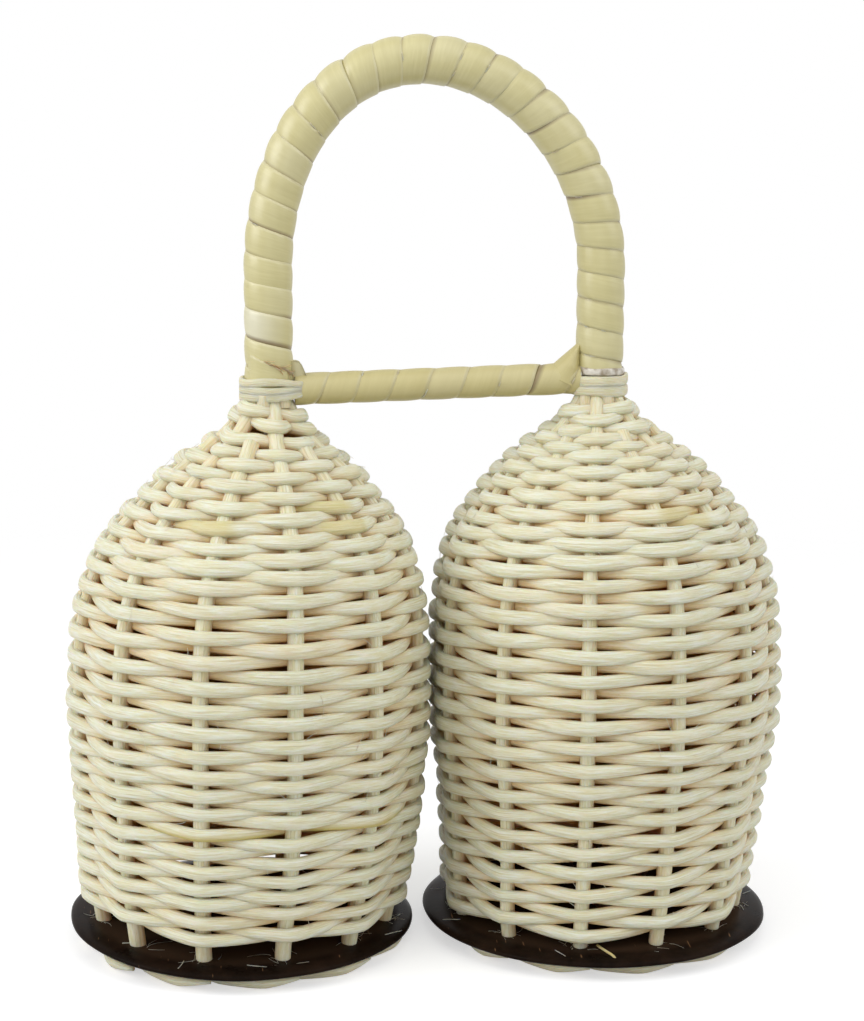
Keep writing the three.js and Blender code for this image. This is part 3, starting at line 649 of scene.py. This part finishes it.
def collar(basket, height):
    """A turn of split reed round an oval, with its height drawn towards the collar's middle at its +X end."""
    shift, half_x, half_y = COLLAR_SIZE[basket["name"]]
    angle = np.linspace(*COLLAR_TURN, COLLAR_STEPS)
    middle = np.mean(COLLAR_HEIGHTS[basket["name"]])
    drawn = 1 - COLLAR_PINCH[basket["name"]] * np.clip(np.sin(angle), 0, 1) ** 2
    x = basket["belly_x"] + basket["neck_shift"] + shift + half_x * np.sin(angle)
    height = basket["neck"] + middle + (height - middle) * drawn + drift(COLLAR_STEPS, 10, 0.2)
    path = np.stack([x, -half_y * np.cos(angle), height], axis=1)
    outward = np.stack([np.sin(angle) / half_x, -np.cos(angle) / half_y, 0 * angle], axis=1)
    half_across = COLLAR_HALF[basket["name"]] + drift(COLLAR_STEPS, 12, 0.1)
    return tube(path, outward, COLLAR_THICK, half_across, COLLAR_SIDES, COLLAR_CORNERS)


def neck_stubs(basket):
    """Short upright tubes round the bunch, each from its own height up to one height inside the collar."""
    cuts = np.array(STUB_PLACES[basket["name"]])
    angle = np.radians(cuts[:, :1])
    height = basket["neck"] + cuts[:, 1:] + (STUB_TOP - cuts[:, 1:]) * np.linspace(0, 1, 8)[None]
    path = place(basket, STUB_RADIUS, angle, height)
    outward = np.stack([np.sin(angle), -np.cos(angle), 0 * angle], axis=-1)
    return tube(path, np.broadcast_to(outward, path.shape), *STUB_HALVES, 12)


def clear_tape():
    """A thin strip round the right leg: a flat tube on a circle, uneven in height and width."""
    angle = np.linspace(*TAPE_TURN, TAPE_STEPS)
    x = right["belly_x"] + right["neck_shift"] + TAPE_RADIUS * np.sin(angle)
    height = right["neck"] + TAPE_HEIGHT + drift(TAPE_STEPS, 9, 0.15)
    path = np.stack([x, -TAPE_RADIUS * np.cos(angle), height], axis=1)
    outward = np.stack([np.sin(angle), -np.cos(angle), 0 * angle], axis=1)
    return tube(path, outward, TAPE_THICK, TAPE_HALF + drift(TAPE_STEPS, 7, 0.15), 10)


def tape_finish():
    """Clear tape over reed: pale, glossy and creased."""
    material, tree, shader = finish_of("clear_tape")
    creases = noise(tree, add(tree, "ShaderNodeTexCoord").outputs["Object"], 420, 3)
    colour = mix(tree, spread(tree, creases, 0.4, 0.6), (0.34, 0.28, 0.20), (0.72, 0.68, 0.60))
    tree.links.new(colour, shader.inputs["Base Color"])
    shader.inputs["Roughness"].default_value = 0.16
    bump(tree, shader, creases, 0.7, 0.0006)
    return material


for basket in baskets:
    points = np.stack([collar(basket, height) for height in COLLAR_HEIGHTS[basket["name"]]])
    binding = reed_piece(f"{basket['name']}_collar_reed", points, weaver_reed, COLLAR_GRAIN, 0.1)
    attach(binding, "basketry")
    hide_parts(f"{basket['name']}_collar")
    stubs = reed_piece(f"{basket['name']}_neck_stubs", neck_stubs(basket), stake_reed, COLLAR_GRAIN, 0.2)
    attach(stubs, "basketry")

tape = surface("right_clear_tape", clear_tape(), {}, tape_finish())
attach(tape, "basketry")

# Handle: a bent rattan cane stands in the two necks, bound from end to end with flat strips of cane skin.
# Each turn laps over the edge of the next one, so that the binding shows fine steps, and one turn on the left
# leg is paler. The strip's frayed end is laid round the foot of the left leg.
HANDLE_SPRING = 167
HANDLE_RISE = 50.6
HANDLE_LEAN = -3.4
HANDLE_FOOT = {"left": 5.8, "right": 7.6}
HANDLE_TURNS = 29
HANDLE_RADIUS = 5.5
PALE_TURN, PALE_SPAN = 2.17, 0.15
STRIP_STEPS = 40
STRIP_EDGE = 10
STRIP_WIDTH = 1.14
STRIP_THICKNESS = 0.5
STRIP_GRAIN = (5, 22)
PUFF_POWER = 2.6
RIM_FROM, RIM_SPAN = 0.46, 0.03
TUCK_FROM, TUCK_SPAN = -0.3, 0.1
HANDLE_FIBRES, END_FIBRES = 70, 30
END_FIBRE_ROWS = (30, 80)
END_TURNS = (-66, -43, 68, 84)
END_EDGES = (147.5, 147.1, 142.4, 141.6)
END_FOOT = 140.6
END_GAP, END_THICKNESS, END_EASE = 0.1, 0.6, 30
END_STEPS, END_ROWS = 90, 9
FRONT = np.array((0.0, -1.0, 0.0))


def handle_line():
    """The handle's middle line: two upright legs and half an ellipse between them that leans to one side."""
    ends = [basket["belly_x"] + basket["neck_shift"] for basket in baskets]
    low = [basket["neck"] + HANDLE_FOOT[basket["name"]] for basket in baskets]
    turn = np.linspace(0, math.pi, 160)
    x = sum(ends) / 2 - (ends[1] - ends[0]) / 2 * np.cos(turn) + HANDLE_LEAN * np.sin(turn) ** 2
    arch = np.stack([x, 0 * turn, HANDLE_SPRING + HANDLE_RISE * np.sin(turn)], axis=1)
    return evenly(np.vstack([[(ends[0], 0, low[0])], arch, [(ends[1], 0, low[1])]]), 0.5)


def bound(line, turns, radius, lap, crown, bulge, start):
    """A flat strip wound round a line in the XZ plane: across the strip its height rises towards the edge
    that lies on top and is puffed in the middle, most on the outside of a bend, and along it the strip turns
    while it moves on. Gives its points, its layers, the turn at each row and the way outwards at its edge."""
    arc = np.concatenate([[0], np.cumsum(np.linalg.norm(np.diff(line, axis=0), axis=1))])
    pitch = arc[-1] / turns
    count = int((turns + 1) * STRIP_STEPS) + 1
    turn = np.arange(count) / STRIP_STEPS - 0.5
    edge = np.linspace(-0.5, 0.5, STRIP_EDGE + 1)
    across = np.concatenate([edge, edge[::-2]])
    is_top = np.arange(len(across)) <= STRIP_EDGE
    width = pitch * (STRIP_WIDTH + drift(count, STRIP_STEPS, 0.02))
    wander = drift(count, STRIP_STEPS, 0.06) * pitch + drift(count, STRIP_STEPS // 4, 0.008) * pitch
    at = np.clip(turn[:, None] * pitch + wander[:, None] + across[None] * width[:, None], 0, arc[-1])
    point = np.stack([np.interp(at, arc, line[:, i]) for i in range(3)], axis=-1)
    slope = np.gradient(line, axis=0)
    slope /= np.linalg.norm(slope, axis=1, keepdims=True)
    along = np.stack([np.interp(at, arc, slope[:, i]) for i in range(3)], axis=-1)
    spin = (start - 2 * math.pi * turn)[:, None]
    out = np.cos(spin)[..., None] * FRONT + np.sin(spin)[..., None] * np.cross(along, FRONT)
    bent = np.clip(2 * np.abs(along[..., 0]), 0, 1) * bulge
    puff = (crown - bent * np.sin(spin)) * (1 - np.abs(2 * across) ** PUFF_POWER) * is_top
    lift = lap * across + puff - STRIP_THICKNESS * (1 - is_top)
    length = 2 * math.pi * radius * turn[:, None]
    grain = np.stack(np.broadcast_arrays(across * STRIP_GRAIN[0], lift, length / STRIP_GRAIN[1]), axis=-1)
    rim = np.broadcast_to(np.clip((across - RIM_FROM) / RIM_SPAN, 0, 1) * is_top, at.shape)
    # The tuck darkens the strip where it goes under the next turn: a dark seam line and painted shade in one.
    tuck = np.clip(0.65 + drift(count, STRIP_STEPS // 3, 0.35), 0.1, 1)[:, None]
    tuck = tuck * np.clip((TUCK_FROM - across) / TUCK_SPAN, 0, 1)
    layers = {"grain": grain, "rim": rim, "tuck": tuck}
    return point + out * (radius + lift)[..., None], layers, turn, out[:, STRIP_EDGE]


def in_view(rows, outward, least):
    """Those of the rows that face the front or the back by a least share."""
    return rows[np.abs(outward[rows, 1]) > least]


def strip_fibres(name, points, outward, pick, **looks):
    """Loose fibres along the upper edge of a strip, at the picked rows and in the strip's direction."""
    fibres(name, "wrap", points[pick], outward[pick], np.gradient(points, axis=0)[pick], **looks)


def handle_strip_end():
    """The strip's end on the left leg: a band round the leg from a level foot to an upper edge that falls
    towards the right, with an inner face and an outer one that starts thin. Gives its points, its layers and
    the way outwards at each row."""
    degrees = np.linspace(END_TURNS[0], END_TURNS[-1], END_STEPS)[:, None]
    turn = np.radians(degrees)
    edge = np.interp(degrees, END_TURNS, END_EDGES) + drift(END_STEPS, 4, 0.14)[:, None]
    across = np.concatenate([np.linspace(0, 1, END_ROWS), np.linspace(1, 0, END_ROWS)])[None]
    is_outer = np.repeat((1.0, 0.0), END_ROWS)[None]
    thickness = END_THICKNESS * is_outer * np.clip((degrees - END_TURNS[0]) / END_EASE, 0, 1)
    radius = HANDLE_RADIUS + END_GAP + thickness
    x = left["belly_x"] + left["neck_shift"] + radius * np.sin(turn)
    height = END_FOOT + across * (edge - END_FOOT)
    points = np.stack([x, -radius * np.cos(turn), height], axis=-1)
    grain = np.stack(np.broadcast_arrays(across * STRIP_GRAIN[0], is_outer, turn / 3), axis=-1)
    layers = {"grain": grain, "rim": np.clip(across * 30 - 29, 0, 1), "tuck": 0.0, "tone": 0.08}
    return points, layers, np.hstack([np.sin(turn), -np.cos(turn), 0 * turn])


def strip_finish(name, pale, deep, roughness):
    """Cane skin strip: satin khaki yellow with faint streaks and soft blotches, a pale cut edge, browner where
    it is tucked under the next turn, a dark seam and painted shade in one, and paler where its tone says so."""
    material, tree, shader = finish_of(name)
    streaks = noise(tree, stretched_grain(tree, 1), 2.4, 5, 0.6)
    blotches = noise(tree, stretched_grain(tree, 1), 0.8, 3)
    colour = mix(tree, spread(tree, streaks, 0.15, 0.85), deep, pale)
    colour = mix(tree, spread(tree, blotches, 0.42, 0.7, 0, 0.6), colour, deep)
    colour = mix(tree, layer(tree, "tone"), colour, (0.74, 0.72, 0.58))
    # Dark seam line and painted shade where the strip is tucked under the next turn.
    colour = mix(tree, spread(tree, layer(tree, "tuck"), 0, 1, 0, 0.9), colour, (0.17, 0.105, 0.035))
    colour = mix(tree, spread(tree, layer(tree, "rim"), 0, 1, 0, 0.4), colour, (0.74, 0.70, 0.50))
    tree.links.new(colour, shader.inputs["Base Color"])
    tree.links.new(spread(tree, streaks, 0.3, 0.7, roughness, roughness + 0.14), shader.inputs["Roughness"])
    bump(tree, shader, streaks, 0.14, 0.0003)
    shader.inputs["Specular IOR Level"].default_value = 1.0
    return material


cane_strip = strip_finish("cane_strip", (0.62, 0.562, 0.262), (0.51, 0.452, 0.182), 0.33)
points, layers, turn, outward = bound(handle_line(), HANDLE_TURNS, HANDLE_RADIUS,
                                      lap=0.3, crown=0.42, bulge=0.36, start=0.3)
tone = 0.05 + np.abs(drift(len(turn), 17, 0.06)) + 0.6 * np.exp(-((turn - PALE_TURN) / PALE_SPAN) ** 2)
wrap = surface("handle_strip", points, {**layers, "tone": tone[:, None]}, cane_strip)
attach(wrap, "basketry")
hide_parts("handle_wrap")
pick = in_view(chance.integers(0, len(points), HANDLE_FIBRES), outward, 0.5)
strip_fibres("handle_seam_fibres", points[:, STRIP_EDGE], outward, pick,
             length=2.2, lift=0.1, thick=0.12, bend=0.08)

points, layers, outward = handle_strip_end()
strip_end = surface("handle_strip_end", points, layers, cane_strip)
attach(strip_end, "basketry")
pick = chance.integers(*END_FIBRE_ROWS, END_FIBRES)
strip_fibres("handle_end_fibres", points[:, END_ROWS - 1], outward, pick,
             length=3.2, lift=0.3, thick=0.13, bend=0.25, warmth=0.6)
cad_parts["handle_core"].data.materials.clear()
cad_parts["handle_core"].data.materials.append(stake_reed)

# Crossbar: a thinner rod between the necks keeps the legs apart. It is bound with the same strip, whose last
# turn runs up on to the right leg. At its left end the cut end of a cane stands in the collar.
BAR_TURNS = 8
BAR_RADIUS = 3.65
BAR_FIBRES = 40
BAR_FRONT = -0.6
BAR_ENDS = {"left": (6.2, 0, 4.9), "right": (-5.2, 0, 5.4)}
FLAP_HEIGHTS = (140.2, 144.2, 149.6)
FLAP_NEAR, FLAP_FAR = (28.0, 31.8, 37.0), 37.5
FLAP_THICK = (4.1, 3.7, 1.2)
FLAP_FRONT = (-0.6, -0.9)
CANE_FOOT = np.array((-33.5, 0.0, 137.6))
CANE_RUN = np.array((1.4, -1.2, 8.4))
CANE_HALVES = (1.9, 2.9)
CUT_HEIGHT = 145.6
CUT_SLOPES = ((-33.0, 0.35), (-31.8, 1.9))
CUT_REACH = 9
CUT_SHADE, CANE_SHADE = 0.22, 0.04
LIKE_STRIP = (2.5, 2.5, 1)


def bar_line():
    """A straight line from the left collar to the right one, a little lower at its left end."""
    start, end = (np.array([basket["belly_x"] + basket["neck_shift"], BAR_FRONT, basket["neck"]])
                  + BAR_ENDS[basket["name"]] for basket in baskets)
    return start + (end - start) * np.linspace(0, 1, 120)[:, None]


def crossbar_strip_end():
    """The strip's last turn: an upright tube beside the right leg, which reaches from a slanting near edge to
    the leg and grows thinner towards its top. Gives its points and its layers."""
    height = np.linspace(FLAP_HEIGHTS[0], FLAP_HEIGHTS[-1], 40)
    near = np.interp(height, FLAP_HEIGHTS, FLAP_NEAR)
    half = (FLAP_FAR - near) / 2
    path = np.stack([near + half, np.interp(height, FLAP_HEIGHTS[::2], FLAP_FRONT), height], axis=1)
    thick = np.interp(height, FLAP_HEIGHTS, FLAP_THICK)
    points = tube(path, np.broadcast_to(FRONT, path.shape), thick, half, 24)
    return points, {"grain": grain_of(points, 8) * LIKE_STRIP, "rim": 0.0, "tuck": 0.0, "tone": 0.05}


def cane_end():
    """A short leaning tube whose top is cut off where it passes a height, which falls towards the right and
    falls faster from the middle on. Gives its points and its layers."""
    path = CANE_FOOT + np.linspace(0, 1, 30)[:, None] * CANE_RUN
    points = tube(path, np.broadcast_to(FRONT, path.shape), *CANE_HALVES, 24)
    falls = [slope * np.clip(points[..., 0] - start, 0, CUT_REACH) for start, slope in CUT_SLOPES]
    cut = CUT_HEIGHT - sum(falls)
    tuck = np.where(points[..., 2] > cut, CUT_SHADE, CANE_SHADE)
    grain = grain_of(points, 5) * LIKE_STRIP
    points[..., 2] = np.minimum(points[..., 2], cut)
    return points, {"grain": grain, "rim": 0.0, "tuck": tuck, "tone": 0.3}


# The crossbar's strip is the handle's strip painted darker and more saturated: painted shade.
painted_shade_bar_cane = strip_finish("bar_cane_strip", (0.555, 0.485, 0.205), (0.485, 0.415, 0.155), 0.42)
points, layers, turn, outward = bound(bar_line(), BAR_TURNS, BAR_RADIUS,
                                      lap=0.24, crown=0.3, bulge=0.0, start=1.0)
tone = 0.04 + np.abs(drift(len(turn), 17, 0.05))
bar_wrap = surface("crossbar_strip", points, {**layers, "tone": tone[:, None]}, painted_shade_bar_cane)
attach(bar_wrap, "basketry")
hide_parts("crossbar_wrap")
pick = in_view(chance.integers(0, len(points), BAR_FIBRES), outward, 0.6)
strip_fibres("crossbar_seam_fibres", points[:, STRIP_EDGE], outward, pick,
             length=1.6, lift=0.3, thick=0.16, bend=0.1)
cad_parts["crossbar_core"].data.materials.clear()
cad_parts["crossbar_core"].data.materials.append(stake_reed)

flap = surface("crossbar_strip_end", *crossbar_strip_end(), painted_shade_bar_cane)
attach(flap, "basketry")

stub = surface("cane_end", *cane_end(), cane_strip)
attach(stub, "basketry")

# Seeds: dry brown beans lie loose on each disc, one in the middle and six in a ring round it. They knock
# against the shell and the wall when the rattle is shaken.
SEED_COUNT = 7
SEED_HALF = (3.0, 3.75, 3.0)
SEED_RING = 15
SEED_WAIST = 0.12
SEED_GAP = 0.3
SEED_BED_RIM, SEED_BED_CROWN = 5.731, 1.2
SEED_ROWS, SEED_SIDES = 18, 24
SEED_POLE = 0.06


def bean(basket, radius, angle):
    """An ellipsoid with a flat waist on one side, its long axis pointing away from the middle of the disc."""
    rise = np.linspace(SEED_POLE, math.pi - SEED_POLE, SEED_ROWS)[:, None]
    turn = around(SEED_SIDES)[None]
    waist = 1 - SEED_WAIST * np.exp(-(np.cos(rise) / 0.35) ** 2) * (np.cos(turn) > 0)
    x = SEED_HALF[0] * np.sin(rise) * np.cos(turn) * waist
    y = SEED_HALF[1] * np.cos(rise)
    z = SEED_HALF[2] * np.sin(rise) * np.sin(turn)
    bed = SEED_BED_RIM + SEED_BED_CROWN * (1 - (radius / DISC_RADIUS) ** 2)
    middle = place(basket, radius, angle, bed + SEED_GAP + SEED_HALF[2])
    c, s = math.cos(angle), math.sin(angle)
    return middle + np.stack(np.broadcast_arrays(c * x - s * y, s * x + c * y, z), axis=-1)


def seed_finish():
    """A dry bean's coat: warm brown with darker speckles and a soft shine."""
    material, tree, shader = finish_of("seed_coat")
    speckles = noise(tree, add(tree, "ShaderNodeTexCoord").outputs["Object"], 700, 3)
    colour = mix(tree, spread(tree, speckles, 0.4, 0.65), (0.14, 0.06, 0.025), (0.05, 0.02, 0.01))
    tree.links.new(colour, shader.inputs["Base Color"])
    shader.inputs["Roughness"].default_value = 0.35
    return material


seed_coat = seed_finish()
for basket in baskets:
    for i in range(SEED_COUNT):
        name = f"{basket['name']}_seed_{i + 1}"
        points = bean(basket, SEED_RING, math.pi * (i - 1) / 3) if i else bean(basket, 0, 0)
        seed = surface(f"{name}_bean", points, {}, seed_coat)
        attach(seed, name)
        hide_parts(name)

# Studio: a white floor and background, soft lights from the left, the right, above and the front, and the
# camera where the photograph was taken. Sizes here are metres.
FLOOR_HALF = 3
FLOOR_WHITE = 0.62
FLOOR_GLOW = 0.55
FLOOR_FADE = (0.2, 0.6)
SKY_LOW, SKY_HIGH = 0.27, 0.52
LIGHTS_FACE = Vector((0, 0, 0.1))
CAMERA_SPOT = (-0.0598, -0.5151, 0.1947)
CAMERA_LENS = 74.4
CAMERA_SENSOR = 36
YAW, PITCH, ROLL = math.radians(6.62), math.radians(9.51), math.radians(0.32)
AIM_ASIDE = 0.0016


def background_rays(tree):
    """1 for the rays that show the background itself, from the camera or by way of shiny and clear things."""
    rays = add(tree, "ShaderNodeLightPath").outputs
    shown = larger(tree, rays["Is Camera Ray"], rays["Is Glossy Ray"])
    return larger(tree, shown, rays["Is Transmission Ray"])


def softbox(name, spot, size, watts):
    """A square area light that faces the middle of the object."""
    light = bpy.data.lights.new(name, "AREA")
    light.size = size
    light.energy = watts
    lamp = bpy.data.objects.new(name, light)
    lamp.location = spot
    lamp.rotation_euler = (LIGHTS_FACE - Vector(spot)).to_track_quat("-Z", "Y").to_euler()
    bpy.context.collection.objects.link(lamp)


floor_mesh = bpy.data.meshes.new("floor")
corners = [(x * FLOOR_HALF, y * FLOOR_HALF, 0) for x, y in ((-1, -1), (1, -1), (1, 1), (-1, 1))]
floor_mesh.from_pydata(corners, [], [(0, 1, 2, 3)])
floor = bpy.data.objects.new("floor", floor_mesh)
bpy.context.collection.objects.link(floor)
paper, tree, shader = finish_of("floor_paper")
shader.inputs["Base Color"].default_value = (FLOOR_WHITE, FLOOR_WHITE, FLOOR_WHITE, 1)
shader.inputs["Roughness"].default_value = 0.8
shader.inputs["Specular IOR Level"].default_value = 0.1
spot = add(tree, "ShaderNodeTexCoord").outputs["Object"]
away = add(tree, "ShaderNodeVectorMath", {0: spot}, operation="LENGTH").outputs["Value"]
tree.links.new(spread(tree, away, *FLOOR_FADE, 1, 0), shader.inputs["Alpha"])
shader.inputs["Emission Color"].default_value = (1, 1, 1, 1)
tree.links.new(spread(tree, background_rays(tree), 0, 1, 0, FLOOR_GLOW), shader.inputs["Emission Strength"])
floor_mesh.materials.append(paper)

world = bpy.data.worlds.new("studio")
bpy.context.scene.world = world
world.use_nodes = True
tree = world.node_tree
ground = tree.nodes["Background"]
ground.inputs["Color"].default_value = (1, 1, 1, 1)
direction = add(tree, "ShaderNodeTexCoord").outputs["Generated"]
sky = add(tree, "ShaderNodeSeparateXYZ", {0: direction}).outputs["Z"]
glow = spread(tree, sky, -0.5, 0.5, SKY_LOW, SKY_HIGH)
tree.links.new(larger(tree, glow, background_rays(tree)), ground.inputs["Strength"])

softbox("key_light", (-0.80, -0.22, 0.53), 0.7, 4.9)
softbox("fill_light", (0.75, -0.40, 0.62), 0.7, 2.5)
softbox("top_light", (0.0, -0.25, 0.62), 0.5, 0.75)
softbox("front_light", (-0.05, -0.75, 0.3), 0.5, 0.55)

upright = Vector((0, 0, 1))
forward = Vector((math.sin(YAW) * math.cos(PITCH), math.cos(YAW) * math.cos(PITCH), -math.sin(PITCH)))
forward = (forward + forward.cross(upright).normalized() * AIM_ASIDE).normalized()
sideways = forward.cross(upright).normalized()
upwards = sideways.cross(forward)
camera_right = sideways * math.cos(ROLL) + upwards * math.sin(ROLL)
camera_up = upwards * math.cos(ROLL) - sideways * math.sin(ROLL)
camera = bpy.data.objects.new("camera", bpy.data.cameras.new("camera"))
camera.data.sensor_width = CAMERA_SENSOR
camera.data.lens = CAMERA_LENS
facing = Matrix((camera_right, camera_up, -forward)).transposed().to_4x4()
camera.matrix_world = Matrix.Translation(CAMERA_SPOT) @ facing
bpy.context.collection.objects.link(camera)
bpy.context.scene.camera = camera
bpy.context.scene.view_settings.view_transform = "Standard"
